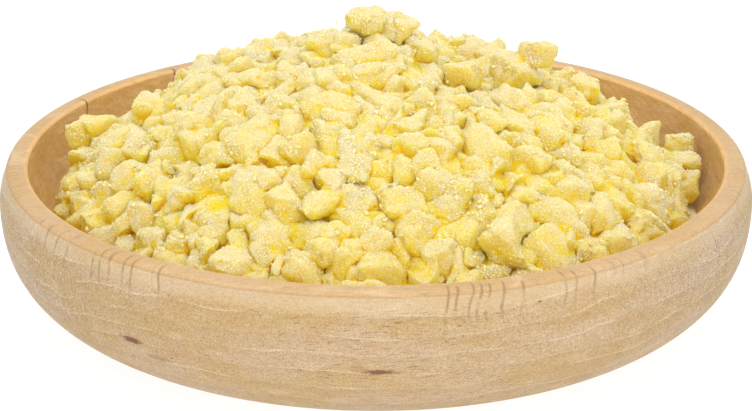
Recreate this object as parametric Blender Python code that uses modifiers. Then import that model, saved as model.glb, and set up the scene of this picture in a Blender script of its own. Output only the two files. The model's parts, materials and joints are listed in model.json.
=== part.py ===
"""Chopped ginger root heaped in a shallow turned bowl of beech.

Run with blender --background --python part.py, or from Blender's text editor.
Units are metres and +Z is up. The origin is the centre of the bowl's flat base, and -Y is the front.
"""

import math
import random

import bmesh
import bpy
from mathutils import Quaternion, Vector

# The bowl, turned from one block
BOWL_RADIUS = 0.100
BOWL_HEIGHT = 0.0386
BELLY_HEIGHT = 0.0290
BASE_RADIUS = 0.0645
OUTER_FULLNESS = 2.47
RIM_OUTER_RADIUS = 0.0982
RIM_INNER_RADIUS = 0.0922
RIM_SHOULDER = 0.0024
RIM_INNER_EDGE = 0.0010
FLOOR_THICKNESS = 0.0085
FLOOR_RADIUS = 0.045
INNER_FULLNESS = 2.5
ROUND = 2.0
TURNED_STEPS = 72
QUARTER_STEPS = 8
SHOULDER_STEPS = 3
EDGE_STEPS = 2
UPPER_WALL_SHARES = (2 / 3, 1 / 3)

# The heap of chopped ginger: a domed surface with a dent, and a packed core at a depth below it
HEAP_RADIUS = 0.0864
HEAP_TOP = 0.0700
HEAP_EDGE = 0.0245
DENT_CENTRE = (0.025, 0.006)
DENT_RADIUS = 0.018
DENT_DEPTH = 0.0065
CORE_DEPTH = 0.0070
CORE_GAP = 0.0005
CORE_STEPS = 24
CORE_RINGS = 7
CHUNK_GAP = 0.0008

# The chunks: each pass scatters one size of dice into what the passes before it left free
SEED = 7
CHUNK_PASSES = ((0.0098, 2500), (0.0080, 1500))
SIDE_RANGE = (0.74, 1.30)
CORNER_SHIFT = 0.13
DEPTH_RANGE = (0.50, 0.90)
PACKING = 0.90
STANDING_TILT = 0.35
SLIDE_STEP = 0.0004
SLIDE_STEPS = 40

# Chunks that stand out of the heap, each as its centre, its sides and its turn about Z in degrees
STANDING_CHUNKS = (
    ((-0.0814, 0.0120, 0.0374), (0.0085, 0.0080, 0.0095), 15),
    ((-0.0746, 0.0180, 0.0368), (0.0085, 0.0075, 0.0080), 40),
    ((0.0830, 0.0100, 0.0302), (0.0140, 0.0065, 0.0055), -12),
    ((0.0835, 0.0000, 0.0269), (0.0080, 0.0080, 0.0070), 25),
    ((0.0840, 0.0170, 0.0327), (0.0065, 0.0065, 0.0095), 5),
    ((0.0637, 0.0050, 0.0450), (0.0070, 0.0065, 0.0085), 30),
    ((0.0563, 0.0060, 0.0517), (0.0080, 0.0070, 0.0080), 60),
    ((0.0380, 0.0030, 0.0621), (0.0090, 0.0080, 0.0075), 20),
    ((0.0428, 0.0040, 0.0646), (0.0070, 0.0070, 0.0070), -30),
    ((-0.0037, 0.0000, 0.0727), (0.0095, 0.0075, 0.0070), 10),
    ((0.0073, 0.0010, 0.0727), (0.0085, 0.0070, 0.0065), 35),
    ((0.0227, -0.0050, 0.0662), (0.0080, 0.0075, 0.0070), -20),
    ((-0.0358, 0.0000, 0.0635), (0.0065, 0.0070, 0.0065), 50),
    ((-0.0603, 0.0000, 0.0481), (0.0085, 0.0080, 0.0090), -10),
    ((-0.0109, -0.0600, 0.0465), (0.0160, 0.0065, 0.0060), 55),
    ((0.0302, -0.0680, 0.0375), (0.0080, 0.0070, 0.0130), 70),
)

WOOD_COLOUR = (0.69, 0.47, 0.26, 1.0)
GINGER_COLOUR = (0.90, 0.73, 0.28, 1.0)


def clear_scene():
    for obj in list(bpy.data.objects):
        bpy.data.objects.remove(obj, do_unlink=True)


def new_collection(name):
    collection = bpy.data.collections.new(name)
    bpy.context.scene.collection.children.link(collection)
    return collection


def make_material(name, colour, roughness):
    material = bpy.data.materials.new(name)
    material.use_nodes = True
    shader = material.node_tree.nodes["Principled BSDF"]
    shader.inputs["Base Color"].default_value = colour
    shader.inputs["Roughness"].default_value = roughness
    shader.inputs["Metallic"].default_value = 0.0
    return material


def quarter(centre, half_width, half_height, fullness, steps):
    """Points of a superellipse's quarter, from its side to its top, or to its foot if half_height < 0."""
    points = []
    for step in range(steps + 1):
        angle = math.pi / 2 * step / steps
        across = max(0.0, math.cos(angle)) ** (2 / fullness)
        up = math.sin(angle) ** (2 / fullness)
        points.append((centre[0] + half_width * across, centre[1] + half_height * up))
    return points


def hollow_quarter(inset):
    """The bowl's inner wall from its top edge down to its floor, moved in by inset."""
    centre = (FLOOR_RADIUS, BOWL_HEIGHT - RIM_INNER_EDGE)
    half_width = RIM_INNER_RADIUS - FLOOR_RADIUS - inset
    half_height = centre[1] - FLOOR_THICKNESS - inset
    return quarter(centre, half_width, -half_height, INNER_FULLNESS, QUARTER_STEPS)


def in_hollow(point, inset):
    """True where a point is at least about inset from the bowl's inner wall and floor."""
    radius = math.hypot(point.x, point.y)
    top = BOWL_HEIGHT - RIM_INNER_EDGE
    if point.z >= top:
        return radius <= RIM_INNER_RADIUS - inset
    across = max(0.0, radius - FLOOR_RADIUS) / (RIM_INNER_RADIUS - FLOOR_RADIUS - inset)
    down = (top - point.z) / (top - FLOOR_THICKNESS - inset)
    return across**INNER_FULLNESS + down**INNER_FULLNESS <= 1.0


def bowl_profile():
    """Half of the bowl's section, from the middle of its floor, over the rim, to the middle of its base."""
    inner = hollow_quarter(0.0)
    edge_centre = (RIM_INNER_RADIUS + RIM_INNER_EDGE, BOWL_HEIGHT - RIM_INNER_EDGE)
    inner_edge = quarter(edge_centre, -RIM_INNER_EDGE, RIM_INNER_EDGE, ROUND, EDGE_STEPS)
    shoulder_foot = BOWL_HEIGHT - RIM_SHOULDER
    shoulder_centre = (RIM_OUTER_RADIUS - RIM_SHOULDER, shoulder_foot)
    shoulder = quarter(shoulder_centre, RIM_SHOULDER, RIM_SHOULDER, ROUND, SHOULDER_STEPS)
    upper_wall = []
    for share in UPPER_WALL_SHARES:
        height = BELLY_HEIGHT + share * (shoulder_foot - BELLY_HEIGHT)
        upper_wall.append((BOWL_RADIUS - (BOWL_RADIUS - RIM_OUTER_RADIUS) * share**2, height))
    belly_centre = (BASE_RADIUS, BELLY_HEIGHT)
    lower_width = BOWL_RADIUS - BASE_RADIUS
    lower_wall = quarter(belly_centre, lower_width, -BELLY_HEIGHT, OUTER_FULLNESS, QUARTER_STEPS)
    inside = [(0.0, FLOOR_THICKNESS)] + list(reversed(inner)) + inner_edge[1:]
    outside = list(reversed(shoulder)) + upper_wall + lower_wall + [(0.0, 0.0)]
    return inside + outside


def heap_height(radius):
    """The height of the heap's dome, a parabola that falls from its top to where it meets the wall."""
    return HEAP_EDGE + (HEAP_TOP - HEAP_EDGE) * (1.0 - (radius / HEAP_RADIUS) ** 2)


def surface_height(x, y):
    """The dome with the shallow dent to the right of its peak, where some of the heap has slipped."""
    away = math.hypot(x - DENT_CENTRE[0], y - DENT_CENTRE[1]) / DENT_RADIUS
    return heap_height(math.hypot(x, y)) - DENT_DEPTH * math.exp(-(away**2))


def core_profile():
    """Half of the section of the packed ginger under the chunks, from its top to its underside."""
    dome = []
    for step in range(CORE_RINGS):
        radius = HEAP_RADIUS * step / CORE_RINGS
        dome.append((radius, heap_height(radius) - CORE_DEPTH))
    top = [(radius, height) for radius, height in dome if in_hollow(Vector((radius, 0.0, height)), CHUNK_GAP)]
    underside = [point for point in hollow_quarter(CORE_GAP) if point[1] < top[-1][1]]
    return top + underside + [(0.0, FLOOR_THICKNESS + CORE_GAP)]


def add_turned(name, profile, steps, material, collection):
    """A solid of revolution about Z from a profile at +X, as an object with a Screw modifier."""
    mesh = bpy.data.meshes.new(name)
    points = [(radius, 0.0, height) for radius, height in profile]
    mesh.from_pydata(points, [(i, i + 1) for i in range(len(points) - 1)], [])
    obj = bpy.data.objects.new(name, mesh)
    collection.objects.link(obj)
    mesh.materials.append(material)
    screw = obj.modifiers.new("turn", "SCREW")
    screw.angle = 2 * math.pi
    screw.steps = screw.render_steps = steps
    screw.use_merge_vertices = True
    screw.merge_threshold = 0.0001
    screw.use_smooth_shade = True
    return obj


def chunk_corners(centre, sides, turn, rng):
    """The eight corners of one uneven dice of ginger, each moved at random from the corner of a box."""
    corners = []
    for x in (-0.5, 0.5):
        for y in (-0.5, 0.5):
            for z in (-0.5, 0.5):
                corner = [at + rng.uniform(-CORNER_SHIFT, CORNER_SHIFT) for at in (x, y, z)]
                corners.append(centre + turn @ Vector([side * at for side, at in zip(sides, corner)]))
    return corners


def random_turn(rng):
    turn = Quaternion([rng.gauss(0.0, 1.0) for _ in range(4)])
    turn.normalize()
    return turn


def slide_inside(corners):
    """A chunk's corners, moved towards the bowl's axis until clear of the wall, or None if that fails."""
    middle = sum(corners, Vector()) / len(corners)
    inwards = -SLIDE_STEP * Vector((middle.x, middle.y, 0.0)).normalized()
    for _ in range(SLIDE_STEPS):
        if all(in_hollow(corner, CHUNK_GAP) for corner in corners):
            return corners
        corners = [corner + inwards for corner in corners]
    return None


def scatter_chunks():
    """The corners of every chunk: those that stand out, then the scattered ones, from large to small."""
    rng = random.Random(SEED)
    chunks, placed = [], []
    for centre, sides, degrees in STANDING_CHUNKS:
        tilt = Quaternion((1.0, 0.0, 0.0), rng.uniform(-STANDING_TILT, STANDING_TILT))
        turn = Quaternion((0.0, 0.0, 1.0), math.radians(degrees)) @ tilt
        chunks.append(slide_inside(chunk_corners(Vector(centre), sides, turn, rng)))
        placed.append((Vector(centre), sum(sides) / len(sides)))
    for side, tries in CHUNK_PASSES:
        for _ in range(tries):
            radius = HEAP_RADIUS * math.sqrt(rng.random())
            angle = rng.uniform(0.0, 2 * math.pi)
            x, y = radius * math.cos(angle), radius * math.sin(angle)
            depth = side * rng.uniform(*DEPTH_RANGE)
            sides = [side * rng.uniform(*SIDE_RANGE) for _ in range(3)]
            turn = random_turn(rng)
            centre = Vector((x, y, surface_height(x, y) - depth))
            if any((centre - other).length < PACKING * (side + size) / 2 for other, size in placed):
                continue
            corners = slide_inside(chunk_corners(centre, sides, turn, rng))
            if corners:
                chunks.append(corners)
                placed.append((centre, side))
    return chunks


def add_chunk(name, corners, collection):
    """One dice: a cube whose corners are moved to the chunk's."""
    mesh = bpy.data.meshes.new(name)
    shape = bmesh.new()
    bmesh.ops.create_cube(shape, size=1.0)
    for vertex in shape.verts:
        along = [int(vertex.co[axis] > 0) for axis in range(3)]
        vertex.co = corners[4 * along[0] + 2 * along[1] + along[2]]
    bmesh.ops.triangulate(shape, faces=shape.faces)
    shape.to_mesh(mesh)
    shape.free()
    obj = bpy.data.objects.new(name, mesh)
    collection.objects.link(obj)
    return obj


def islands(shape):
    """The separate surfaces of a bmesh, each as a list of its vertices."""
    left, found = set(shape.verts), []
    while left:
        front = [left.pop()]
        island = list(front)
        while front:
            near = [edge.other_vert(vertex) for vertex in front for edge in vertex.link_edges]
            front = list({vertex for vertex in near if vertex in left})
            left.difference_update(front)
            island.extend(front)
        found.append(island)
    return found


def keep_outer_skin(mesh):
    """Fills the small hollows that fusing sealed and drops loose scraps, by keeping the largest surface."""
    shape = bmesh.new()
    shape.from_mesh(mesh)
    surfaces = sorted(islands(shape), key=len)
    loose = [vertex for surface in surfaces[:-1] for vertex in surface]
    bmesh.ops.delete(shape, geom=loose, context="VERTS")
    shape.to_mesh(mesh)
    shape.free()


def fuse(core, pieces):
    """Joins every object of the collection pieces to core, as one body, and removes them."""
    union = core.modifiers.new("fuse", "BOOLEAN")
    union.operation = "UNION"
    union.solver = "MANIFOLD"
    union.operand_type = "COLLECTION"
    union.collection = pieces
    bpy.context.view_layer.update()
    graph = bpy.context.evaluated_depsgraph_get()
    fused = bpy.data.meshes.new_from_object(core.evaluated_get(graph))
    core.modifiers.clear()
    core.data = fused
    for obj in list(pieces.objects):
        bpy.data.objects.remove(obj, do_unlink=True)
    bpy.data.collections.remove(pieces)
    keep_outer_skin(fused)


def add_bowl(parts):
    material = make_material("beech", WOOD_COLOUR, 0.55)
    return add_turned("bowl", bowl_profile(), TURNED_STEPS, material, parts)


def add_ginger(parts):
    material = make_material("ginger", GINGER_COLOUR, 0.45)
    heap = add_turned("chopped_ginger", core_profile(), CORE_STEPS, material, parts)
    pieces = new_collection("chunks")
    for number, corners in enumerate(scatter_chunks()):
        add_chunk(f"chunk_{number}", corners, pieces)
    fuse(heap, pieces)
    for polygon in heap.data.polygons:
        polygon.use_smooth = False
    return heap


def main():
    clear_scene()
    bpy.context.scene.unit_settings.scale_length = 1.0
    parts = new_collection("bowl_of_chopped_ginger")
    add_bowl(parts)
    add_ginger(parts)


main()
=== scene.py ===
"""The looks of a shallow turned beech bowl, heaped with frosty chopped ginger root.

Metres, +Z up. The origin is the centre of the bowl's flat base, and -Y is the front.
"""

import json
import math
import random

import bmesh
import bpy
import numpy as np
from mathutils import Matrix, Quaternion, Vector, noise
from mathutils.bvhtree import BVHTree

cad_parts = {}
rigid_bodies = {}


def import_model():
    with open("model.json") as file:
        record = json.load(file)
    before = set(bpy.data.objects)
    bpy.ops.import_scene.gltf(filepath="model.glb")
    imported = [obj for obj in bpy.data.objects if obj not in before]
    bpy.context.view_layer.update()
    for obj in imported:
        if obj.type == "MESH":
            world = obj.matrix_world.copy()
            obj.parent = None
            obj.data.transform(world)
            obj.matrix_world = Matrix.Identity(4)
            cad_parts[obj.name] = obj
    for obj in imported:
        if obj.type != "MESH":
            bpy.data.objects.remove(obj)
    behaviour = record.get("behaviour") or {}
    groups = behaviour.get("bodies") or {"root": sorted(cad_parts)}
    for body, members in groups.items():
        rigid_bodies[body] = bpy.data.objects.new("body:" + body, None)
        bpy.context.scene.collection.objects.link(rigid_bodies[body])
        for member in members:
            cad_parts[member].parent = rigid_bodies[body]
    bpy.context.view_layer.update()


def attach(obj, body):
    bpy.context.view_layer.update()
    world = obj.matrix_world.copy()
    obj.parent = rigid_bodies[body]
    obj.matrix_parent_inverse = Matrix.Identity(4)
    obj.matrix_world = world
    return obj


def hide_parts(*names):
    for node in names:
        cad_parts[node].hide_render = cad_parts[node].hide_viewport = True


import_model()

MM = 0.001

# The bowl's section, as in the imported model
BOWL_RADIUS = 0.100
BOWL_HEIGHT = 0.0386
BELLY_HEIGHT = 0.0290
BASE_RADIUS = 0.0645
OUTER_FULLNESS = 2.47
RIM_OUTER_RADIUS = 0.0982
RIM_INNER_RADIUS = 0.0922
RIM_SHOULDER = 0.0024
RIM_INNER_EDGE = 0.0010
FLOOR_THICKNESS = 0.0085
FLOOR_RADIUS = 0.045
INNER_FULLNESS = 2.5
ROUND = 2.0
TURNED_STEPS = 288
MERGE_DISTANCE = 0.00001
WALL_STEPS = 36
SHOULDER_STEPS = 10
SHOULDER_BLEND = 0.0007
EDGE_STEPS = 6

# The heap's form and the seeded dice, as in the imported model
HEAP_RADIUS = 0.0864
HEAP_TOP = 0.0700
HEAP_EDGE = 0.0245
DENT_CENTRE = (0.025, 0.006)
DENT_RADIUS = 0.018
DENT_DEPTH = 0.0065
CORE_DEPTH = 0.0070
CORE_GAP = 0.0005
CHUNK_GAP = 0.0008
SEED = 7
CHUNK_PASSES = ((0.0098, 2500), (0.0080, 1500))
SIDE_RANGE = (0.74, 1.30)
CORNER_SHIFT = 0.13
DEPTH_RANGE = (0.50, 0.90)
PACKING = 0.90
STANDING_TILT = 0.35
SLIDE_STEP = 0.0004
SLIDE_STEPS = 40
STANDING_CHUNKS = (
    ((-0.0814, 0.0120, 0.0374), (0.0085, 0.0080, 0.0095), 15),
    ((-0.0746, 0.0180, 0.0368), (0.0085, 0.0075, 0.0080), 40),
    ((0.0830, 0.0100, 0.0302), (0.0140, 0.0065, 0.0055), -12),
    ((0.0835, 0.0000, 0.0269), (0.0080, 0.0080, 0.0070), 25),
    ((0.0840, 0.0170, 0.0327), (0.0065, 0.0065, 0.0095), 5),
    ((0.0637, 0.0050, 0.0450), (0.0070, 0.0065, 0.0085), 30),
    ((0.0563, 0.0060, 0.0517), (0.0080, 0.0070, 0.0080), 60),
    ((0.0380, 0.0030, 0.0621), (0.0090, 0.0080, 0.0075), 20),
    ((0.0428, 0.0040, 0.0646), (0.0070, 0.0070, 0.0070), -30),
    ((-0.0037, 0.0000, 0.0727), (0.0095, 0.0075, 0.0070), 10),
    ((0.0073, 0.0010, 0.0727), (0.0085, 0.0070, 0.0065), 35),
    ((0.0227, -0.0050, 0.0662), (0.0080, 0.0075, 0.0070), -20),
    ((-0.0358, 0.0000, 0.0635), (0.0065, 0.0070, 0.0065), 50),
    ((-0.0603, 0.0000, 0.0481), (0.0085, 0.0080, 0.0090), -10),
    ((-0.0109, -0.0600, 0.0465), (0.0160, 0.0065, 0.0060), 55),
    ((0.0302, -0.0680, 0.0375), (0.0080, 0.0070, 0.0130), 70),
)

# Smaller bits between the dice: size, tries, depth range in sizes, packing
FILL_PASSES = (
    (0.0074, 6000, (0.42, 0.85), 0.68),
    (0.0085, 3000, (0.90, 1.30), 0.74),
    (0.0046, 4000, (0.35, 1.10), 0.74),
)

# Dice that close gaps round the peak and at the left wall: centre, sides and turn in degrees
ADDED_CHUNKS = (
    ((0.0018, 0.0015, 0.0722), (0.0075, 0.0065, 0.0065), 25),
    ((0.0118, 0.0005, 0.0680), (0.0085, 0.0070, 0.0065), -15),
    ((-0.0125, -0.0005, 0.0672), (0.0085, 0.0075, 0.0065), 40),
    ((-0.0700, 0.0140, 0.0385), (0.0070, 0.0060, 0.0050), 10),
    ((-0.0752, 0.0120, 0.0398), (0.0070, 0.0055, 0.0050), 35),
    ((-0.0800, 0.0060, 0.0335), (0.0065, 0.0060, 0.0050), -20),
)

# How the dice are cut and rounded. The first two lie loose at the left wall and swell least
SWELL = 1.15
STANDING_SWELL = 0.98
LOOSE_SWELL = 0.80
LOOSE_CHUNKS = 2
DICE_CUTS = 8
BIT_CUTS = 4
DICE_SIZE_LIMIT = 0.0070
CORNER_POWER = (2.8, 5.6)
SLICES = (1, 3)
SLICE_DEPTH = (0.66, 0.96)
EXTRA_SHIFT = 0.0011
RIPPLE_WIDTH = 0.0020
RIPPLE_LENGTH = 0.0055
RIPPLE_HEIGHT = 0.00100
RIPPLE_OFFSET = 50.0
CRUST_TURNS = 96
CRUST_STEPS = 40
CRUST_DEPTH = 0.0046
CRUST_FLOOR = 0.0125

# The frost on the dice
LUMP_SIZE = 0.0030
LUMP_HEIGHT = 0.00030
GRAIN_SIZE = 0.0011
GRAIN_HEIGHT = 0.00045
LEAST_STANDING_FROST = 0.6
FROST_FILL = 0.9
MOST_FILL = 1.2
SHARP_ANGLE = math.radians(46)
LEAST_VERTICES = 40

# Where the heap has settled: a ring round its peak and a strip on its right
SAG_RADIUS = 0.029
SAG_WIDTH = 0.013
SAG_DEPTH = 0.0042
SLIP_CENTRE = (0.0225, 0.0)
SLIP_SIZES = (0.013, 0.032)
SLIP_DEPTH = 0.0034

# Frost crystals and shreds that stick to the dice: how many, their sizes and their stretch
CRYSTALS = (30000, (0.00010, 0.00026), 1.0)
SHREDS = (1600, (0.00028, 0.00060), 1.8)
UNEVEN = (0.6, 1.4)
TIPS = ((1, 0, 0), (-1, 0, 0), (0, 1, 0), (0, -1, 0), (0, 0, 1), (0, 0, -1))
SIDES = ((0, 2, 4), (2, 1, 4), (1, 3, 4), (3, 0, 4), (2, 0, 5), (1, 2, 5), (3, 1, 5), (0, 3, 5))
PATCH_SIZE = 0.0075
PATCH_CONTRAST = 3.2
CRUMB_LEAST_UP = -0.10
CRUMB_MOST_DEPTH = 0.0065
CRUMB_MOST_CREVICE = 0.10
LEAST_AREA = 1e-15

# Rounds of smoothing that the narrow crevices and the broad hollows are measured against
FINE_ROUNDS = 6
BROAD_ROUNDS = 40

# Strands of root fibre: short ones at random, and those of FIBRES by start, bend and end
FIBRE_RADIUS = 0.00011
FIBRE_POINTS = 7
SHORT_FIBRES = 130
FIBRE_LENGTHS = (0.0015, 0.0045)
FIBRE_RISE = (0.10, 0.55)
FIBRE_BEND = 0.15
FIBRE_ROOT = 0.30
FIBRE_MIDDLE = 0.35
FIBRE_TAPER = 0.6
FIBRES = (
    ((-0.0102, 0.0, 0.0680), (-0.0100, 0.0, 0.0735), (-0.0112, 0.0, 0.0778)),
    ((-0.0600, -0.002, 0.0470), (-0.0625, -0.002, 0.0490), (-0.0640, -0.002, 0.0498)),
    ((0.0520, -0.0350, 0.0480), (0.0580, -0.0360, 0.0478), (0.0625, -0.0340, 0.0450)),
    ((-0.0660, -0.0480, 0.0390), (-0.0680, -0.0500, 0.0405), (-0.0720, -0.0500, 0.0420)),
    ((-0.0655, -0.0490, 0.0390), (-0.0690, -0.0510, 0.0390), (-0.0715, -0.0520, 0.0380)),
    ((0.0725, 0.0050, 0.0400), (0.0732, 0.0050, 0.0415), (0.0742, 0.0050, 0.0420)),
)

# The camera, fitted to the rim's ellipses in the photograph
CAMERA_DISTANCE = 0.491
CAMERA_ELEVATION = math.radians(19.44)
CAMERA_DIP = math.radians(1.88)
CAMERA_LENS = 87.4
CAMERA_NEAR = 0.01

# The studio: each light's name, place, size and power, then the even light and the pale floor
LIGHT_AIM = (0.0, 0.0, 0.03)
LIGHTS = (
    ("overhead", (-0.02, 0.0, 1.0), 0.9, 4.2),
    ("front_fill", (0.15, -1.0, 0.55), 1.0, 4.6),
)
WHITE = (1.0, 1.0, 1.0, 1.0)
WORLD_STRENGTH = 0.90
FLOOR_SIZE = 6.0
FLOOR_GREY = (0.25, 0.25, 0.25, 1.0)
FLOOR_GLOW = 0.85


def srgb(red, green, blue):
    """A colour as seen on screen, 0 to 255, as the linear colour that a shader takes."""
    linear = []
    for level in (red, green, blue):
        share = level / 255
        linear.append(share / 12.92 if share <= 0.04045 else ((share + 0.055) / 1.055) ** 2.4)
    return (*linear, 1.0)


class Graph:
    """A material's nodes, with a short call for each kind that the patterns need."""

    def __init__(self, name):
        self.material = bpy.data.materials.new(name)
        self.material.use_nodes = True
        self.nodes = self.material.node_tree.nodes
        self.links = self.material.node_tree.links
        self.shader = self.nodes["Principled BSDF"]

    def put(self, value, socket):
        if isinstance(value, bpy.types.NodeSocket):
            self.links.new(value, socket)
        else:
            socket.default_value = value

    def shade(self, **values):
        for name, value in values.items():
            self.put(value, self.shader.inputs[name.replace("_", " ")])

    def math(self, operation, first, second=0.0):
        node = self.nodes.new("ShaderNodeMath")
        node.operation = operation
        self.put(first, node.inputs[0])
        self.put(second, node.inputs[1])
        return node.outputs[0]

    def add(self, first, second):
        return self.math("ADD", first, second)

    def times(self, first, second):
        return self.math("MULTIPLY", first, second)

    def vector(self, operation, first, second):
        node = self.nodes.new("ShaderNodeVectorMath")
        node.operation = operation
        self.put(first, node.inputs[0])
        self.put(second, node.inputs[1])
        return node.outputs["Value" if operation == "LENGTH" else "Vector"]

    def split(self, vector):
        node = self.nodes.new("ShaderNodeSeparateXYZ")
        self.put(vector, node.inputs[0])
        return node.outputs[0], node.outputs[1], node.outputs[2]

    def join(self, x, y, z):
        node = self.nodes.new("ShaderNodeCombineXYZ")
        for value, socket in zip((x, y, z), node.inputs):
            self.put(value, socket)
        return node.outputs[0]

    def place(self):
        """The point on the object, in millimetres."""
        node = self.nodes.new("ShaderNodeTexCoord")
        return self.vector("MULTIPLY", node.outputs["Object"], (1 / MM, 1 / MM, 1 / MM))

    def normal(self):
        return self.nodes.new("ShaderNodeNewGeometry").outputs["Normal"]

    def noise(self, vector, scale=1.0, detail=2.0, roughness=0.5):
        node = self.nodes.new("ShaderNodeTexNoise")
        self.put(vector, node.inputs["Vector"])
        node.inputs["Scale"].default_value = scale
        node.inputs["Detail"].default_value = detail
        node.inputs["Roughness"].default_value = roughness
        return node.outputs["Fac"]

    def stretched(self, vector, sizes, detail=1.0):
        """Noise whose blobs measure sizes along X, Y and Z, in millimetres."""
        return self.noise(self.vector("MULTIPLY", vector, [1 / size for size in sizes]), 1.0, detail)

    def cells(self, vector, size):
        node = self.nodes.new("ShaderNodeTexVoronoi")
        self.put(vector, node.inputs["Vector"])
        node.inputs["Scale"].default_value = 1 / size
        return node.outputs["Distance"]

    def rise(self, value, low, high):
        """Runs smoothly from 0 at low to 1 at high, or the other way where low is the greater."""
        node = self.nodes.new("ShaderNodeMapRange")
        node.interpolation_type = "SMOOTHSTEP"
        self.put(value, node.inputs["Value"])
        node.inputs["From Min"].default_value = min(low, high)
        node.inputs["From Max"].default_value = max(low, high)
        node.inputs["To Min"].default_value = 0.0 if low < high else 1.0
        node.inputs["To Max"].default_value = 1.0 if low < high else 0.0
        return node.outputs["Result"]

    def mix(self, share, first, second):
        node = self.nodes.new("ShaderNodeMix")
        node.data_type = "RGBA"
        self.put(share, node.inputs[0])
        self.put(first, node.inputs[6])
        self.put(second, node.inputs[7])
        return node.outputs[2]

    def lay(self, colour, over, mask, strength):
        """The colour with another laid over it where the mask is 1, as strongly as given."""
        return self.mix(self.times(mask, strength), colour, over)

    def tone(self, colour, factors, mask):
        """The colour with its red, green and blue multiplied where the mask is 1."""
        return self.mix(mask, colour, self.vector("MULTIPLY", colour, factors))

    def ramp(self, value, stops):
        """A colour for each share from 0 to 1, blended between the stops."""
        node = self.nodes.new("ShaderNodeValToRGB")
        self.put(value, node.inputs[0])
        elements = node.color_ramp.elements
        elements.remove(elements[1])
        for number, (share, colour) in enumerate(stops):
            element = elements[0] if number == 0 else elements.new(share)
            element.position = share
            element.color = colour
        return node.outputs[0]

    def stored(self, name):
        """A number that the mesh keeps at its vertices."""
        node = self.nodes.new("ShaderNodeAttribute")
        node.attribute_name = name
        return node.outputs["Fac"]

    def bump(self, height, distance, strength=1.0):
        node = self.nodes.new("ShaderNodeBump")
        node.inputs["Strength"].default_value = strength
        node.inputs["Distance"].default_value = distance
        self.put(height, node.inputs["Height"])
        self.links.new(node.outputs[0], self.shader.inputs["Normal"])


# The beech, in millimetres and degrees. Its rings lie as nearly level sheets and its fibres run along X
RING_SPACING = 4.6
RING_SLOPE = (-0.035, 0.02)
RING_SWAY = 12.0
RING_RIPPLE = 2.2
FIBRE_SLANT = -28
RIM_BAND = (33.0, 36.0)

# Each knot's centre, half sizes, turn about Z and strength
KNOTS = (
    ((-56.5, -81.5, 19.8), (3.8, 1.8, 1.0), -34, 0.90),
    ((-49.9, -84.5, 16.6), (4.6, 2.0, 1.0), -30, 0.35),
    ((0.9, -99.2, 20.3), (5.2, 1.8, 0.8), 0, 0.85),
    ((36.5, -92.0, 34.3), (0.6, 1.2, 0.4), 0, 0.60),
    ((90.5, -4.0, 31.0), (2.0, 1.3, 0.9), 0, 0.60),
)

# Where round the rim the cracks, the dark streaks and the patches of fine ticks lie
CRACK_ANGLES = (155.0, 131.8)
STREAK_ANGLES = (
    -146.4, -143.6, -140.1, -137.2, -131.7, -130.2, -128.6, -126.4, -124.9, -120.2,
    -80.8, -79.6, -77.7, -76.6, -75.4, -73.4, -70.9, -64.8, -63.1, -59.7,
)
TICK_PATCHES = ((-15, 14), (14, 10), (-165, 14), (-118, 6), (-52, 7))

# The beech's colours
BEECH_PALE = srgb(193, 166, 132)
BEECH_WARM = srgb(188, 158, 110)
SMUDGE_DARK = srgb(186, 142, 90)
SMUDGE_PALE = srgb(212, 186, 154)
LATE_WOOD = srgb(172, 139, 96)
FIBRE_BROWN = srgb(166, 133, 92)
PORE_BROWN = srgb(142, 107, 68)
RAY_BROWN = srgb(134, 100, 62)
RING_LINE = srgb(218, 199, 170)
# Painted highlight on the rim where it faces up
RIM_EDGE_HIGHLIGHT = srgb(216, 194, 158)
# Painted floor light on the foot
FOOT_FLOOR_LIGHT = srgb(222, 203, 174)
SLANT_BROWN = srgb(176, 132, 76)
CREASE_BROWN = srgb(158, 122, 80)
STREAK_BROWN = srgb(128, 92, 52)
KNOT_BROWN = srgb(112, 66, 44)
CRACK_BROWN = srgb(98, 62, 34)

# How much the ends, the rim's top and the inner wall change the colour below them. On the ends this is a
# painted grey reflection, and on the inner wall painted yellow light that the ginger throws back.
END_REFLECTION_TONE = (0.95, 0.99, 1.08)
TOP_TONE = (0.98, 0.88, 0.74)
GINGER_BOUNCE_TONE = (1.45, 1.31, 0.99)


def around(graph, place):
    """The angle round the bowl's axis in degrees, and the distance from it and height in millimetres."""
    x, y, z = graph.split(place)
    angle = graph.times(graph.math("ARCTAN2", y, x), 180 / math.pi)
    reach = graph.vector("LENGTH", graph.join(x, y, 0.0), (0, 0, 0))
    return angle, reach, z


def ring_marks(graph, place):
    """The thin pale line that each growth ring leaves, and the slow darkening before it."""
    x, y, z = graph.split(place)
    sway = graph.add(graph.stretched(place, (70, 40, 26), 2.0), -0.5)
    ripple = graph.add(graph.stretched(place, (13, 8, 6), 3.0), -0.5)
    level = graph.add(z, graph.add(graph.times(x, RING_SLOPE[0]), graph.times(y, RING_SLOPE[1])))
    level = graph.add(level, graph.add(graph.times(sway, RING_SWAY), graph.times(ripple, RING_RIPPLE)))
    phase = graph.math("FRACT", graph.times(level, 1 / RING_SPACING))
    line = graph.times(graph.rise(phase, 0.0, 0.04), graph.rise(phase, 0.13, 0.05))
    broken = graph.rise(graph.stretched(place, (18, 12, 5), 2.0), 0.40, 0.62)
    return graph.times(line, broken), graph.rise(phase, 0.30, 1.0)


def ray_marks(graph, place, normal):
    """The rays, upright sheets along X: dark dashes where the surface cuts them, fainter along them."""
    edge_on = graph.rise(graph.math("ABSOLUTE", graph.split(normal)[1]), 0.93, 0.55)
    coarse = graph.rise(graph.stretched(place, (4.2, 0.50, 14)), 0.62, 0.72)
    fine = graph.rise(graph.stretched(place, (2.4, 0.26, 8)), 0.57, 0.72)
    flecks = graph.add(graph.times(coarse, 0.42), graph.times(fine, 0.34))
    return graph.times(flecks, graph.add(graph.times(edge_on, 0.90), 0.10))


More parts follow.
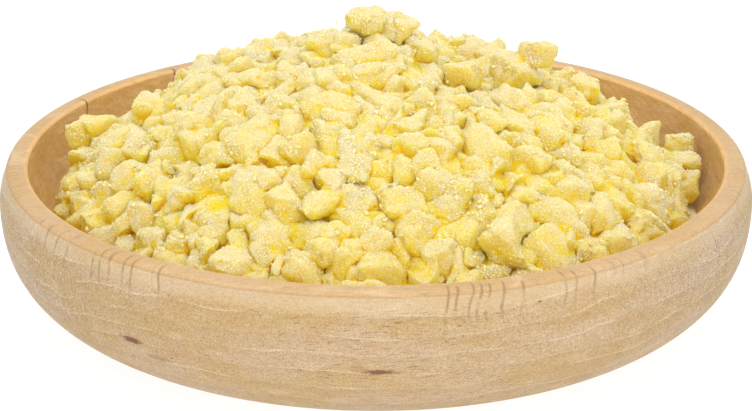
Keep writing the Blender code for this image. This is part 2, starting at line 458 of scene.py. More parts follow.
def pores(graph, place):
    """Fine dark dashes along the fibres."""
    rows = graph.stretched(place, (3.2, 0.34, 0.34), 2.0)
    crowded = graph.rise(graph.stretched(place, (40, 30, 12), 1.0), 0.35, 0.65)
    return graph.times(graph.rise(rows, 0.56, 0.72), graph.add(graph.times(crowded, 0.6), 0.4))


def growth(graph, place, fibres, band):
    """The wood's broad tones: patches, smudges, the darker late wood of each ring, fibres and pores."""
    patches = graph.stretched(place, (30, 22, 9), 3.0)
    smudges = graph.stretched(place, (9, 7, 3.2), 2.0)
    colour = graph.mix(graph.rise(patches, 0.38, 0.62), BEECH_PALE, BEECH_WARM)
    colour = graph.lay(colour, SMUDGE_DARK, graph.rise(smudges, 0.54, 0.74), 0.40)
    colour = graph.lay(colour, SMUDGE_PALE, graph.rise(smudges, 0.46, 0.26), 0.40)
    colour = graph.lay(colour, LATE_WOOD, band, 0.25)
    colour = graph.lay(colour, FIBRE_BROWN, graph.rise(fibres, 0.45, 0.70), 0.30)
    return graph.lay(colour, PORE_BROWN, pores(graph, place), 0.75)


def rim_streaks(graph, place):
    """Thin dark lines that wrap from the rim over its shoulder and fade a few millimetres down the wall."""
    angle, reach, z = around(graph, place)
    bent = graph.add(angle, graph.times(graph.add(graph.stretched(place, (16, 16, 9)), -0.5), 3.0))
    away = 180.0
    for middle in STREAK_ANGLES:
        away = graph.math("MINIMUM", away, graph.math("ABSOLUTE", graph.add(bent, -middle)))
    worn = graph.rise(graph.stretched(place, (3, 3, 3)), 0.30, 0.55)
    named = graph.times(graph.rise(away, 0.30, 0.08), worn)
    ticks = graph.noise(graph.join(graph.times(bent, 2.6), graph.times(z, 0.015), 0.0), 1.0, 1.0)
    patches = 0.0
    for middle, half in TICK_PATCHES:
        apart = graph.math("ABSOLUTE", graph.add(angle, -middle))
        patches = graph.math("MAXIMUM", patches, graph.rise(apart, half, half * 0.4))
    ticks = graph.times(graph.times(graph.rise(ticks, 0.56, 0.68), patches), 0.6)
    sway = graph.times(graph.stretched(place, (2, 2, 30)), 8.0)
    swayed = graph.add(z, sway)
    deep = graph.rise(swayed, 33.0, 41.0)
    short = graph.rise(swayed, 38.5, 42.5)
    marks = graph.math("MAXIMUM", graph.times(named, deep), graph.times(ticks, short))
    return graph.times(marks, graph.rise(reach, 93.0, 96.0))


def knots(graph, place):
    """Small brown knots, each an ellipsoid with a ragged edge, turned about Z by its angle."""
    ragged = graph.times(graph.add(graph.stretched(place, (1.8, 1.2, 0.5), 3.0), -0.5), 1.5)
    found = 0.0
    for centre, sizes, degrees, strength in KNOTS:
        node = graph.nodes.new("ShaderNodeVectorRotate")
        node.rotation_type = "Z_AXIS"
        node.inputs["Angle"].default_value = -math.radians(degrees)
        graph.put(graph.vector("SUBTRACT", place, centre), node.inputs["Vector"])
        scaled = graph.vector("MULTIPLY", node.outputs[0], [1 / size for size in sizes])
        distance = graph.add(graph.vector("LENGTH", scaled, (0, 0, 0)), ragged)
        found = graph.math("MAXIMUM", found, graph.times(graph.rise(distance, 1.15, 0.35), strength))
    return found


def cracks(graph, place):
    """Two thin dark lines that cross the rim's inner edge and run down the inner wall."""
    angle, reach, z = around(graph, place)
    bent = graph.add(angle, graph.times(graph.add(graph.stretched(place, (5, 5, 4), 2.0), -0.5), 1.6))
    found = 0.0
    for middle in CRACK_ANGLES:
        away = graph.math("ABSOLUTE", graph.add(bent, -middle))
        found = graph.math("MAXIMUM", found, graph.rise(away, 0.34, 0.08))
    inside = graph.rise(reach, 95.5, 93.2)
    return graph.times(found, graph.times(inside, graph.rise(z, 27.0, 37.0)))


def slants(graph, place):
    """Soft streaks up the inner wall, where the lathe cut the fibres at a slant."""
    node = graph.nodes.new("ShaderNodeVectorRotate")
    node.rotation_type = "Y_AXIS"
    node.inputs["Angle"].default_value = math.radians(FIBRE_SLANT)
    graph.put(place, node.inputs["Vector"])
    return graph.rise(graph.stretched(node.outputs[0], (13, 4, 0.9), 3.0), 0.42, 0.66)


def beech():
    """Pale beech: the tones and marks of growth first, then painted light on its ends, rim edge, foot and
    inner wall, then what the lathe and use have left.
    """
    graph = Graph("beech")
    place = graph.place()
    normal = graph.normal()
    _, reach, z = around(graph, place)
    across, _, up = graph.split(normal)
    rim = graph.rise(z, *RIM_BAND)
    inside = graph.times(graph.rise(reach, 93.6, 92.2), graph.rise(z, 9.0, 9.6))
    top = graph.times(graph.rise(up, 0.50, 0.62), rim)
    edge = graph.times(graph.rise(up, 0.12, 0.35), rim)
    crease = graph.times(graph.rise(up, 0.50, 0.60), graph.rise(up, 0.80, 0.66))
    crease = graph.times(crease, graph.rise(reach, 94.0, 95.5))
    # The sides that face along X: their end grain shows coarser sand, and a painted grey reflection lies on
    # them.
    ends = graph.rise(graph.math("ABSOLUTE", across), 0.45, 0.85)
    sand = graph.noise(place, 3.0, 2.0, 1.0)
    fibres = graph.stretched(place, (9.0, 0.5, 0.5), 3.0)
    line, band = ring_marks(graph, place)
    colour = growth(graph, place, fibres, band)
    rays = graph.times(ray_marks(graph, place, normal), graph.add(1.0, graph.times(inside, -0.75)))
    colour = graph.mix(rays, colour, RAY_BROWN)
    lines = graph.times(line, graph.add(graph.times(inside, -0.40), 0.46))
    colour = graph.mix(lines, colour, RING_LINE)
    grains = graph.times(graph.add(sand, -0.5), graph.add(1.9, graph.times(ends, 1.6)))
    grains = graph.add(1.0, graph.times(grains, graph.add(1.0, graph.times(inside, -0.65))))
    colour = graph.vector("MULTIPLY", colour, graph.join(grains, grains, grains))
    # Painted grey reflection on the ends.
    colour = graph.tone(colour, END_REFLECTION_TONE, ends)
    # Painted highlight on the rim where it faces up, from its shoulder over its top.
    colour = graph.lay(colour, RIM_EDGE_HIGHLIGHT, edge, 0.35)
    colour = graph.tone(colour, TOP_TONE, top)
    # Painted light from the floor on the lowest few millimetres of the wall.
    colour = graph.lay(colour, FOOT_FLOOR_LIGHT, graph.rise(z, 3.2, 0.4), 0.8)
    # Painted yellow light that the ginger throws back onto the inner wall.
    colour = graph.tone(colour, GINGER_BOUNCE_TONE, inside)
    colour = graph.lay(colour, SLANT_BROWN, graph.times(slants(graph, place), inside), 0.26)
    colour = graph.lay(colour, CREASE_BROWN, crease, 0.25)
    colour = graph.lay(colour, STREAK_BROWN, rim_streaks(graph, place), 0.50)
    colour = graph.mix(knots(graph, place), colour, KNOT_BROWN)
    colour = graph.lay(colour, CRACK_BROWN, cracks(graph, place), 0.70)
    rough = graph.add(graph.times(sand, 0.18), 0.46)
    relief = graph.add(graph.times(sand, 0.7), graph.times(fibres, 0.6))
    graph.shade(Base_Color=colour, Roughness=rough, Specular_IOR_Level=0.30)
    graph.bump(relief, 0.00018, 0.7)
    return graph.material


# The ginger's colours, from the painted golden shade of the gaps and undersides to the frosted tops
GINGER_COLOURS = (
    (0.00, srgb(250, 203, 14)),
    (0.15, srgb(250, 213, 34)),
    (0.35, srgb(248, 219, 70)),
    (0.60, srgb(239, 216, 104)),
    (0.85, srgb(235, 215, 138)),
    (1.00, srgb(233, 216, 165)),
)
# Painted brown shade in some of the heap's hollows
HOLLOW_SHADE_BROWN = srgb(190, 124, 30)
TINTED = srgb(248, 216, 92)
SPARKLING = srgb(253, 243, 208)
LOOSE_ICE = (srgb(248, 238, 190), srgb(252, 249, 230))
LOOSE_FLESH = (srgb(247, 224, 128), srgb(248, 232, 168))
LOOSE_STRAND = (srgb(216, 180, 90), srgb(240, 216, 140))

# Where less frost lies and painted golden shade goes, in crevices, hollows and deep down: the number stored
# on the skin, between which values it sets in, and by how much
FROST_AND_SHADE_TERMS = (
    ("hollow", -0.70, 0.60, -0.40),
    ("crevice", -0.05, 0.30, -0.30),
    ("depth", 0.003, 0.010, -0.35),
)

# How far light goes into the ginger
LIGHT_REACH = 0.0034
LIGHT_REACH_BY_COLOUR = (1.0, 0.85, 0.50)


def ginger():
    """Frosty cut root: cream where frost lies on what faces up, with painted golden shade below and in the
    gaps, and painted brown shade in some hollows.
    """
    graph = Graph("ginger")
    place = graph.place()
    mottle = graph.add(graph.noise(place, 0.30, 3.0, 0.6), -0.5)
    grain = graph.add(graph.noise(place, 2.3, 3.0, 0.8), -0.5)
    crystals = graph.cells(place, 0.8)
    # Gold to cream: frost on what faces up and on the higher parts of the heap, and painted golden shade on
    # what faces down and in crevices, hollows and depths, standing in for light passing through the ginger.
    share = graph.add(0.34, graph.times(graph.rise(graph.split(graph.normal())[2], -0.45, 0.80), 0.56))
    for name, low, high, weight in FROST_AND_SHADE_TERMS:
        share = graph.add(share, graph.times(graph.rise(graph.stored(name), low, high), weight))
    share = graph.add(share, graph.add(graph.times(mottle, 0.8), graph.times(grain, 1.2)))
    share = graph.add(share, graph.times(graph.add(graph.stored("frost"), -0.5), 0.24))
    share = graph.add(share, graph.times(graph.rise(graph.split(place)[2], 42.0, 68.0), 0.13))
    colour = graph.ramp(share, GINGER_COLOURS)
    # Painted brown shade in patches of the hollows.
    hollow_shade = graph.rise(graph.noise(place, 0.13, 1.0), 0.62, 0.68)
    hollow_shade = graph.times(hollow_shade, graph.rise(graph.stored("hollow"), -0.1, 0.5))
    colour = graph.lay(colour, HOLLOW_SHADE_BROWN, hollow_shade, 0.8)
    colour = graph.lay(colour, TINTED, graph.stored("tint"), 0.22)
    speckle = graph.add(0.68, graph.times(graph.noise(place, 3.2, 1.0, 0.8), 0.64))
    colour = graph.vector("MULTIPLY", colour, graph.join(speckle, speckle, speckle))
    sparkle = graph.rise(graph.noise(place, 2.7, 1.0, 0.8), 0.55, 0.68)
    sparkle = graph.times(sparkle, graph.rise(share, 0.25, 0.70))
    colour = graph.lay(colour, SPARKLING, sparkle, 0.7)
    rough = graph.add(graph.times(grain, 0.30), 0.65)
    graph.shade(Base_Color=colour, Roughness=rough, Specular_IOR_Level=0.08)
    graph.shade(Subsurface_Weight=0.9, Subsurface_Scale=LIGHT_REACH)
    graph.shade(Subsurface_Radius=LIGHT_REACH_BY_COLOUR)
    graph.bump(graph.add(grain, graph.times(crystals, 0.4)), 0.0007, 0.9)
    return graph.material


def loose(name, colours, rough):
    """What lies on the dice: ice crystals, shreds or fibres, a little uneven in colour."""
    graph = Graph(name)
    grain = graph.noise(graph.place(), 1.1, 2.0)
    colour = graph.mix(graph.rise(grain, 0.35, 0.65), *colours)
    graph.shade(Base_Color=colour, Roughness=rough, Specular_IOR_Level=0.4)
    return graph.material


def quarter(centre, half_width, half_height, fullness, steps):
    """Points of a superellipse's quarter, from its side to its top, or to its foot if half_height < 0."""
    points = []
    for step in range(steps + 1):
        angle = math.pi / 2 * step / steps
        across = max(0.0, math.cos(angle)) ** (2 / fullness)
        up = math.sin(angle) ** (2 / fullness)
        points.append((centre[0] + half_width * across, centre[1] + half_height * up))
    return points


def hollow_quarter(inset):
    """The bowl's inner wall from its top edge down to its floor, moved in by inset."""
    centre = (FLOOR_RADIUS, BOWL_HEIGHT - RIM_INNER_EDGE)
    half_width = RIM_INNER_RADIUS - FLOOR_RADIUS - inset
    half_height = centre[1] - FLOOR_THICKNESS - inset
    return quarter(centre, half_width, -half_height, INNER_FULLNESS, WALL_STEPS)


def in_hollow(point, inset):
    """True where a point is at least about inset from the bowl's inner wall and floor."""
    radius = math.hypot(point.x, point.y)
    top = BOWL_HEIGHT - RIM_INNER_EDGE
    if point.z >= top:
        return radius <= RIM_INNER_RADIUS - inset
    across = max(0.0, radius - FLOOR_RADIUS) / (RIM_INNER_RADIUS - FLOOR_RADIUS - inset)
    down = (top - point.z) / (top - FLOOR_THICKNESS - inset)
    return across**INNER_FULLNESS + down**INNER_FULLNESS <= 1.0


def bowl_profile():
    """Half of the bowl's section, from the middle of its floor, over the rim, to the middle of its base."""
    inner = hollow_quarter(0.0)
    edge_centre = (RIM_INNER_RADIUS + RIM_INNER_EDGE, BOWL_HEIGHT - RIM_INNER_EDGE)
    inner_edge = quarter(edge_centre, -RIM_INNER_EDGE, RIM_INNER_EDGE, ROUND, EDGE_STEPS)
    shoulder_foot = BOWL_HEIGHT - RIM_SHOULDER
    shoulder_centre = (RIM_OUTER_RADIUS - RIM_SHOULDER, shoulder_foot)
    shoulder = quarter(shoulder_centre, RIM_SHOULDER, RIM_SHOULDER, ROUND, SHOULDER_STEPS)
    shoulder = [point for point in shoulder if point[1] > shoulder_foot + SHOULDER_BLEND]
    upper_wall = []
    for step in range(SHOULDER_STEPS - 1, 0, -1):
        share = step / SHOULDER_STEPS
        height = BELLY_HEIGHT + share * (shoulder_foot - BELLY_HEIGHT)
        upper_wall.append((BOWL_RADIUS - (BOWL_RADIUS - RIM_OUTER_RADIUS) * share**2, height))
    belly_centre = (BASE_RADIUS, BELLY_HEIGHT)
    lower_width = BOWL_RADIUS - BASE_RADIUS
    lower_wall = quarter(belly_centre, lower_width, -BELLY_HEIGHT, OUTER_FULLNESS, WALL_STEPS)
    inside = [(0.0, FLOOR_THICKNESS)] + list(reversed(inner)) + inner_edge[1:]
    outside = list(reversed(shoulder)) + upper_wall + lower_wall + [(0.0, 0.0)]
    return inside + outside


def heap_height(radius):
    """The height of the heap's dome, a parabola that falls from its top to where it meets the wall."""
    return HEAP_EDGE + (HEAP_TOP - HEAP_EDGE) * (1.0 - (radius / HEAP_RADIUS) ** 2)


def surface_height(x, y):
    """The dome with the shallow dent to the right of its peak, where some of the heap has slipped."""
    away = math.hypot(x - DENT_CENTRE[0], y - DENT_CENTRE[1]) / DENT_RADIUS
    return heap_height(math.hypot(x, y)) - DENT_DEPTH * math.exp(-(away**2))


def new_object(name, mesh, material):
    obj = bpy.data.objects.new(name, mesh)
    bpy.context.scene.collection.objects.link(obj)
    mesh.materials.append(material)
    return obj


def evaluated_mesh(obj):
    """The mesh that an object's modifiers make of it."""
    bpy.context.view_layer.update()
    graph = bpy.context.evaluated_depsgraph_get()
    return bpy.data.meshes.new_from_object(obj.evaluated_get(graph))


def turned(name, profile, steps, material):
    """A solid of revolution about Z from a profile at +X."""
    mesh = bpy.data.meshes.new(name)
    points = [(radius, 0.0, height) for radius, height in profile]
    mesh.from_pydata(points, [(i, i + 1) for i in range(len(points) - 1)], [])
    obj = new_object(name, mesh, material)
    screw = obj.modifiers.new("turn", "SCREW")
    screw.angle = 2 * math.pi
    screw.steps = screw.render_steps = steps
    screw.use_merge_vertices = True
    screw.merge_threshold = MERGE_DISTANCE
    screw.use_smooth_shade = True
    obj.data = evaluated_mesh(obj)
    obj.modifiers.clear()
    return obj


def chunk_corners(centre, sides, turn, rng):
    """The eight corners of one uneven dice of ginger, each moved at random from the corner of a box."""
    corners = []
    for x in (-0.5, 0.5):
        for y in (-0.5, 0.5):
            for z in (-0.5, 0.5):
                corner = [at + rng.uniform(-CORNER_SHIFT, CORNER_SHIFT) for at in (x, y, z)]
                corners.append(centre + turn @ Vector([side * at for side, at in zip(sides, corner)]))
    return corners


def random_turn(rng):
    turn = Quaternion([rng.gauss(0.0, 1.0) for _ in range(4)])
    turn.normalize()
    return turn


def slide_inside(corners):
    """A chunk's corners, moved towards the bowl's axis until clear of the wall, or None if that fails."""
    middle = sum(corners, Vector()) / len(corners)
    inwards = -SLIDE_STEP * Vector((middle.x, middle.y, 0.0)).normalized()
    for _ in range(SLIDE_STEPS):
        if all(in_hollow(corner, CHUNK_GAP) for corner in corners):
            return corners
        corners = [corner + inwards for corner in corners]
    return None


def scatter_pass(side, tries, depths, packing, chunks, placed, rng):
    """Adds the chunks of one size that find room near the heap's surface."""
    for _ in range(tries):
        radius = HEAP_RADIUS * math.sqrt(rng.random())
        angle = rng.uniform(0.0, 2 * math.pi)
        x, y = radius * math.cos(angle), radius * math.sin(angle)
        depth = side * rng.uniform(*depths)
        sides = [side * rng.uniform(*SIDE_RANGE) for _ in range(3)]
        turn = random_turn(rng)
        centre = Vector((x, y, surface_height(x, y) - depth))
        if any((centre - other).length < packing * (side + size) / 2 for other, size in placed):
            continue
        corners = slide_inside(chunk_corners(centre, sides, turn, rng))
        if corners:
            chunks.append((corners, side))
            placed.append((centre, side))


def scatter_chunks():
    """The corners and size of every chunk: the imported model's own, then the smaller bits between them."""
    rng = random.Random(SEED)
    chunks, placed = [], []
    for centre, sides, degrees in STANDING_CHUNKS:
        tilt = Quaternion((1.0, 0.0, 0.0), rng.uniform(-STANDING_TILT, STANDING_TILT))
        turn = Quaternion((0.0, 0.0, 1.0), math.radians(degrees)) @ tilt
        corners = slide_inside(chunk_corners(Vector(centre), sides, turn, rng))
        chunks.append((corners, max(sides)))
        placed.append((Vector(centre), sum(sides) / len(sides)))
    for side, tries in CHUNK_PASSES:
        scatter_pass(side, tries, DEPTH_RANGE, PACKING, chunks, placed, rng)
    for centre, sides, degrees in ADDED_CHUNKS:
        turn = Quaternion((0.0, 0.0, 1.0), math.radians(degrees))
        chunks.append((chunk_corners(Vector(centre), sides, turn, rng), max(sides)))
        placed.append((Vector(centre), sum(sides) / len(sides)))
    for side, tries, depths, packing in FILL_PASSES:
        scatter_pass(side, tries, depths, packing, chunks, placed, rng)
    return chunks


def cube_grid(cuts):
    """The vertices and faces of a cube from -1 to 1 whose edges are cut evenly."""
    shape = bmesh.new()
    bmesh.ops.create_cube(shape, size=2.0)
    bmesh.ops.subdivide_edges(shape, edges=shape.edges, cuts=cuts, use_grid_fill=True)
    points = np.array([vertex.co for vertex in shape.verts])
    faces = np.array([[vertex.index for vertex in face.verts] for face in shape.faces])
    shape.free()
    return points, faces


def dice_points(grid, corners, swell, rng):
    """A cube's grid fitted to a chunk's corners, with rounded edges, cut off slices and rippled sides."""
    power = rng.uniform(*CORNER_POWER)
    rounded = grid / (np.abs(grid) ** power).sum(1, keepdims=True) ** (1 / power)
    share = (rounded * swell + 1) / 2
    box = np.array([[at + rng.gauss(0.0, EXTRA_SHIFT) for at in corner] for corner in corners])
    points = np.zeros_like(grid)
    for number, corner in enumerate(box):
        sides = (number >> 2, number >> 1 & 1, number & 1)
        weights = [1 - side - share[:, axis] * (1 - 2 * side) for axis, side in enumerate(sides)]
        points += np.prod(weights, axis=0)[:, None] * corner
    middle = points.mean(0)
    points -= middle
    for _ in range(rng.randint(*SLICES)):
        way = np.array(random_turn(rng) @ Vector((0.0, 0.0, 1.0)))
        along = points @ way
        limit = along.max() * rng.uniform(*SLICE_DEPTH)
        points -= np.maximum(0.0, along - limit)[:, None] * way
    return middle + points * ripples(points, rng)[:, None]


def ripples(points, rng):
    """How far each point of a dice moves out, in ripples that run along its fibres."""
    fibre = random_turn(rng)
    offset = Vector([rng.uniform(-RIPPLE_OFFSET, RIPPLE_OFFSET) for _ in range(3)])
    out = []
    for point in points:
        local = fibre @ Vector(point)
        stretched = Vector((local.x / RIPPLE_WIDTH, local.y / RIPPLE_WIDTH, local.z / RIPPLE_LENGTH))
        ripple = RIPPLE_HEIGHT * noise.noise(stretched + offset)
        out.append(1.0 + ripple / max(local.length, MM))
    return np.array(out)


def crust_profile():
    """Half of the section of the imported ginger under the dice, closed by a level floor."""
    top = []
    for step in range(CRUST_STEPS):
        radius = HEAP_RADIUS * step / CRUST_STEPS
        height = heap_height(radius) - CRUST_DEPTH
        if in_hollow(Vector((radius, 0.0, height)), CHUNK_GAP):
            top.append((radius, height))
    side = [point for point in hollow_quarter(CORE_GAP) if CRUST_FLOOR < point[1] < top[-1][1]]
    return top + side + [(side[-1][0], CRUST_FLOOR), (0.0, CRUST_FLOOR)]


def mesh_from(name, points, faces):
    mesh = bpy.data.meshes.new(name)
    mesh.from_pydata(points.tolist(), [], faces.tolist())
    return mesh


def fuse(core, pieces):
    """Joins every object of the collection pieces to core, as one body, and removes them."""
    union = core.modifiers.new("fuse", "BOOLEAN")
    union.operation = "UNION"
    union.solver = "MANIFOLD"
    union.operand_type = "COLLECTION"
    union.collection = pieces
    fused = evaluated_mesh(core)
    core.modifiers.clear()
    core.data = fused
    for obj in list(pieces.objects):
        bpy.data.objects.remove(obj, do_unlink=True)
    bpy.data.collections.remove(pieces)


def settle(x, y):
    """How far the heap has sunk in the ring round its peak, and in a strip that slipped on its right."""
    ring = np.exp(-(((np.hypot(x, y) - SAG_RADIUS) / SAG_WIDTH) ** 2))
    aside = (x - SLIP_CENTRE[0]) / SLIP_SIZES[0]
    along = (y - SLIP_CENTRE[1]) / SLIP_SIZES[1]
    return SAG_DEPTH * ring + SLIP_DEPTH * np.exp(-(aside**2) - along**2)


def lower_crust(mesh):
    """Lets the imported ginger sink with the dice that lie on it, and leaves its level floor as it is."""
    points = read_points(mesh)
    drop = settle(points[:, 0], points[:, 1])
    points[:, 2] -= np.where(points[:, 2] > CRUST_FLOOR + MM, drop, 0.0)
    mesh.vertices.foreach_set("co", points.astype(np.float32).ravel())


def frost_over(mesh):
    """Roughens the skin into soft lumps and grains, and leaves its level floor as it is."""
    points, normals = read_points(mesh), read_normals(mesh)
    lift = FROST_FILL * MM * np.clip(read(mesh, "crevice"), 0.0, MOST_FILL)
    for index, point in enumerate(points):
        if point[2] > CRUST_FLOOR + MM:
            lump = noise.noise(Vector(point) / LUMP_SIZE)
            grain = noise.noise(Vector(point) / GRAIN_SIZE)
            lift[index] += LUMP_HEIGHT * lump + GRAIN_HEIGHT * grain
    points += normals * lift[:, None]
    mesh.vertices.foreach_set("co", points.astype(np.float32).ravel())
    mesh.update()


def islands(shape):
    """The separate surfaces of a bmesh, each as a list of its vertices."""
    left, found = set(shape.verts), []
    while left:
        front = [left.pop()]
        island = list(front)
        while front:
            near = [edge.other_vert(vertex) for vertex in front for edge in vertex.link_edges]
            front = list({vertex for vertex in near if vertex in left})
            left.difference_update(front)
            island.extend(front)
        found.append(island)
    return found


def drop_hollows(mesh):
    """Fills the hollows that fusing sealed, whose skins face inwards, and drops the least scraps."""
    shape = bmesh.new()
    shape.from_mesh(mesh)
    loose = []
    for surface in islands(shape):
        faces = {face for vertex in surface for face in vertex.link_faces}
        volume = sum(face.calc_center_median().dot(face.normal) * face.calc_area() for face in faces)
        if volume <= 0.0 or len(surface) < LEAST_VERTICES:
            loose.extend(surface)
    bmesh.ops.delete(shape, geom=loose, context="VERTS")
    shape.to_mesh(mesh)
    shape.free()


def read_points(mesh):
    values = np.empty(len(mesh.vertices) * 3, np.float32)
    mesh.vertices.foreach_get("co", values)
    return values.reshape(-1, 3).astype(float)


def read_normals(mesh):
    values = np.empty(len(mesh.vertices) * 3, np.float32)
    mesh.vertex_normals.foreach_get("vector", values)
    return values.reshape(-1, 3).astype(float)


def store(mesh, name, values, domain="POINT"):
    attribute = mesh.attributes.new(name, "FLOAT", domain)
    attribute.data.foreach_set("value", np.asarray(values, np.float32))


def sunk(mesh, rounds):
    """How many millimetres each vertex lies below its surroundings, by smoothing the skin rounds times."""
    points = read_points(mesh)
    edges = np.empty(len(mesh.edges) * 2, np.int32)
    mesh.edges.foreach_get("vertices", edges)
    ends = np.concatenate((edges[0::2], edges[1::2]))
    others = np.concatenate((edges[1::2], edges[0::2]))
    share = np.bincount(ends, minlength=len(points))[:, None]
    smooth = points
    for _ in range(rounds):
        total = [np.bincount(ends, smooth[others, axis], len(points)) for axis in range(3)]
        smooth = np.stack(total, 1) / share
    return ((smooth - points) * read_normals(mesh)).sum(1) / MM


def colour_by_chunk(mesh, source, owner, count, rng):
    """Stores on each face the tint and frost of its chunk, and at each vertex how deep and sunk it lies."""
    tree = BVHTree.FromPolygons(source[0].tolist(), source[1].tolist())
    tints = np.array([rng.random() for _ in range(count)])
    frosts = np.array([rng.random() for _ in range(count)])
    standing = slice(len(STANDING_CHUNKS))
    frosts[standing] = np.maximum(frosts[standing], LEAST_STANDING_FROST)
    nearest = [owner[tree.find_nearest(polygon.center)[2]] for polygon in mesh.polygons]
    store(mesh, "tint", tints[nearest], "FACE")
    store(mesh, "frost", frosts[nearest], "FACE")
    depths = [surface_height(x, y) - settle(x, y) - z for x, y, z in read_points(mesh)]
    store(mesh, "depth", depths)
    store(mesh, "crevice", sunk(mesh, FINE_ROUNDS))
    store(mesh, "hollow", sunk(mesh, BROAD_ROUNDS))


def read(mesh, name):
    layer = mesh.attributes[name]
    values = np.empty(len(layer.data), np.float32)
    layer.data.foreach_get("value", values)
    return values


def open_places(skin, count, rng):
    """Random points, in loose patches, on what faces up and stands out of the heap, and their normals."""
    skin.calc_loop_triangles()
    corners = np.empty(len(skin.loop_triangles) * 3, np.int32)
    skin.loop_triangles.foreach_get("vertices", corners)
    corners = corners.reshape(-1, 3)
    points = read_points(skin)
    first, second, third = (points[corners[:, index]] for index in range(3))
    cross = np.cross(second - first, third - first)
    area = np.linalg.norm(cross, axis=1)
    up = cross[:, 2] / np.maximum(area, LEAST_AREA)
    open_faces = (up > CRUMB_LEAST_UP) & (read(skin, "depth")[corners].mean(1) < CRUMB_MOST_DEPTH)
    open_faces &= read(skin, "crevice")[corners].mean(1) < CRUMB_MOST_CREVICE
    middles = (first + second + third) / (3 * PATCH_SIZE)
    patches = np.array([noise.noise(Vector(middle)) for middle in middles])
    odds = np.where(open_faces, area * np.exp(PATCH_CONTRAST * patches), 0.0)
    chosen = rng.choice(len(corners), count, p=odds / odds.sum())
    across, along = rng.random((2, count, 1))
    over = across + along > 1.0
    across = np.where(over, 1.0 - across, across)
    along = np.where(over, 1.0 - along, along)
    start = first[chosen]
    places = start + across * (second[chosen] - start) + along * (third[chosen] - start)
    return places, cross[chosen] / area[chosen][:, None]


def add_crumbs(name, skin, crumbs, material, rng):
    """Small uneven octahedra, each sunk halfway into the dice below it."""
    count, sizes, stretch = crumbs
    places, _ = open_places(skin, count, rng)
    tips = np.array(TIPS, float) * (stretch, 1.0, 1.0)
    lengths = rng.uniform(*sizes, (count, 1, 1)) * rng.uniform(*UNEVEN, (count, len(TIPS), 1))
    turns, _ = np.linalg.qr(rng.normal(size=(count, 3, 3)))
    turns *= np.sign(np.linalg.det(turns))[:, None, None]
    points = places[:, None, :] + (tips * lengths) @ turns
    faces = np.array(SIDES) + len(TIPS) * np.arange(count)[:, None, None]
    mesh = mesh_from(name, points.reshape(-1, 3), faces.reshape(-1, 3))
    mesh.polygons.foreach_set("use_smooth", [True] * len(mesh.polygons))
    return new_object(name, mesh, material)


def add_fibres(skin, material, rng):
    """Thin stiff strands: those that stand out in the photograph, then short ones at random."""
    curve = bpy.data.curves.new("ginger_fibres", "CURVE")
    curve.dimensions = "3D"
    curve.bevel_depth = FIBRE_RADIUS
    curve.bevel_resolution = 1
    curve.use_fill_caps = True
    strands = [[np.array(point) for point in strand] for strand in FIBRES]
    places, normals = open_places(skin, SHORT_FIBRES, rng)
    for place, normal in zip(places, normals):
        side = np.cross(normal, rng.normal(size=3))
        way = rng.uniform(*FIBRE_RISE) * normal + side / np.linalg.norm(side)
        length = rng.uniform(*FIBRE_LENGTHS)
        bend = rng.normal(size=3) * length * FIBRE_BEND
        root = place - way * length * FIBRE_ROOT
        strands.append((root, place + way * length * FIBRE_MIDDLE + bend, place + way * length))
    for start, middle, end in strands:
        spline = curve.splines.new("POLY")
        spline.points.add(FIBRE_POINTS - 1)
        for number, point in enumerate(spline.points):
            share = number / (FIBRE_POINTS - 1)
            near = (1 - share) ** 2 * start + 2 * share * (1 - share) * middle + share**2 * end
            point.co = (*near, 1.0)
            point.radius = 1.0 - FIBRE_TAPER * share
    return new_object("ginger_fibres", curve, material)


def add_ginger(material):
    """The whole heap as one skin: dice, smaller bits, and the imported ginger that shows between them."""
    rng = random.Random(SEED + 1)
    grids = {cuts: cube_grid(cuts) for cuts in (DICE_CUTS, BIT_CUTS)}
    pieces = bpy.data.collections.new("pieces")
    bpy.context.scene.collection.children.link(pieces)
    points, faces, owner, start = [], [], [], 0
    chunks = scatter_chunks()
    for number, (corners, side) in enumerate(chunks):
        grid, quads = grids[DICE_CUTS if side > DICE_SIZE_LIMIT else BIT_CUTS]
        swell = STANDING_SWELL if number < len(STANDING_CHUNKS) else SWELL
        if number < LOOSE_CHUNKS:
            swell = LOOSE_SWELL
        shape = dice_points(grid, corners, swell, rng)
        shape[:, 2] -= settle(*shape[:, :2].mean(0))
        points.append(shape)
        faces.append(quads + start)
        owner += [number] * len(quads)
        start += len(grid)
        dice = mesh_from(f"dice_{number}", points[-1], quads)
        pieces.objects.link(bpy.data.objects.new(dice.name, dice))
    source = (np.concatenate(points), np.concatenate(faces))
    heap = turned("ginger_heap", crust_profile(), CRUST_TURNS, material)
    lower_crust(heap.data)
    fuse(heap, pieces)
    skin = heap.data
    drop_hollows(skin)
    skin.polygons.foreach_set("use_smooth", [True] * len(skin.polygons))
    skin.set_sharp_from_angle(angle=SHARP_ANGLE)
    colour_by_chunk(skin, source, owner, len(chunks), rng)
    frost_over(skin)
    return heap


def add_floor():
    """A pale floor that glows a little, so that it is as white as the space behind it."""
    bpy.ops.mesh.primitive_plane_add(size=FLOOR_SIZE, location=(0.0, 0.0, 0.0))
    floor = bpy.context.object
    floor.name = "studio_floor"
    graph = Graph("floor")
    graph.shade(Base_Color=FLOOR_GREY, Roughness=0.9, Specular_IOR_Level=0.1)
    graph.shade(Emission_Color=WHITE, Emission_Strength=FLOOR_GLOW)
    floor.data.materials.append(graph.material)


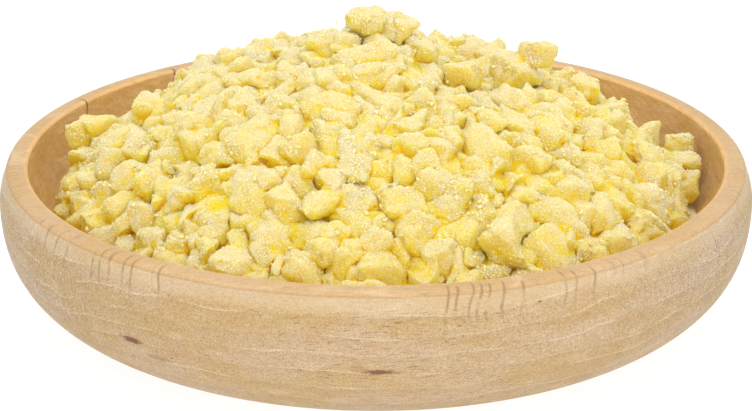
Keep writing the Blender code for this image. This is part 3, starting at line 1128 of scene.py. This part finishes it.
def add_light(name, place, size, power):
    """A round soft light that looks at LIGHT_AIM."""
    light = bpy.data.lights.new(name, "AREA")
    light.shape = "DISK"
    light.size = size
    light.energy = power
    obj = bpy.data.objects.new(name, light)
    bpy.context.scene.collection.objects.link(obj)
    obj.location = place
    obj.rotation_euler = (Vector(LIGHT_AIM) - Vector(place)).to_track_quat("-Z", "Y").to_euler()


def light_studio():
    """Even white light from all round, with two soft lights above and in front."""
    world = bpy.data.worlds.new("studio")
    bpy.context.scene.world = world
    world.use_nodes = True
    background = world.node_tree.nodes["Background"]
    background.inputs["Color"].default_value = WHITE
    background.inputs["Strength"].default_value = WORLD_STRENGTH
    for light in LIGHTS:
        add_light(*light)
    bpy.context.scene.view_settings.view_transform = "Standard"
    bpy.context.scene.view_settings.look = "None"


def add_camera():
    """Looks at the rim's centre from the photograph's angle, dipped a little below it."""
    camera = bpy.data.cameras.new("camera")
    camera.lens = CAMERA_LENS
    camera.clip_start = CAMERA_NEAR
    obj = bpy.data.objects.new("camera", camera)
    bpy.context.scene.collection.objects.link(obj)
    back = CAMERA_DISTANCE * math.cos(CAMERA_ELEVATION)
    up = CAMERA_DISTANCE * math.sin(CAMERA_ELEVATION)
    obj.location = (0.0, -back, BOWL_HEIGHT + up)
    obj.rotation_euler = (math.pi / 2 - CAMERA_ELEVATION - CAMERA_DIP, 0.0, 0.0)
    bpy.context.scene.camera = obj


def main():
    add_camera()
    light_studio()
    add_floor()
    bowl = turned("turned_bowl", bowl_profile(), TURNED_STEPS, beech())
    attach(bowl, "root")
    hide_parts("bowl")
    heap = add_ginger(ginger())
    rng = np.random.default_rng(SEED)
    ice = loose("ginger_frost", LOOSE_ICE, 0.35)
    flesh = loose("ginger_shred", LOOSE_FLESH, 0.55)
    strand = loose("ginger_fibre", LOOSE_STRAND, 0.50)
    crystals = add_crumbs("ginger_crystals", heap.data, CRYSTALS, ice, rng)
    shreds = add_crumbs("ginger_shreds", heap.data, SHREDS, flesh, rng)
    fibres = add_fibres(heap.data, strand, rng)
    for piece in (heap, crystals, shreds, fibres):
        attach(piece, "root")
        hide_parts("chopped_ginger")


main()
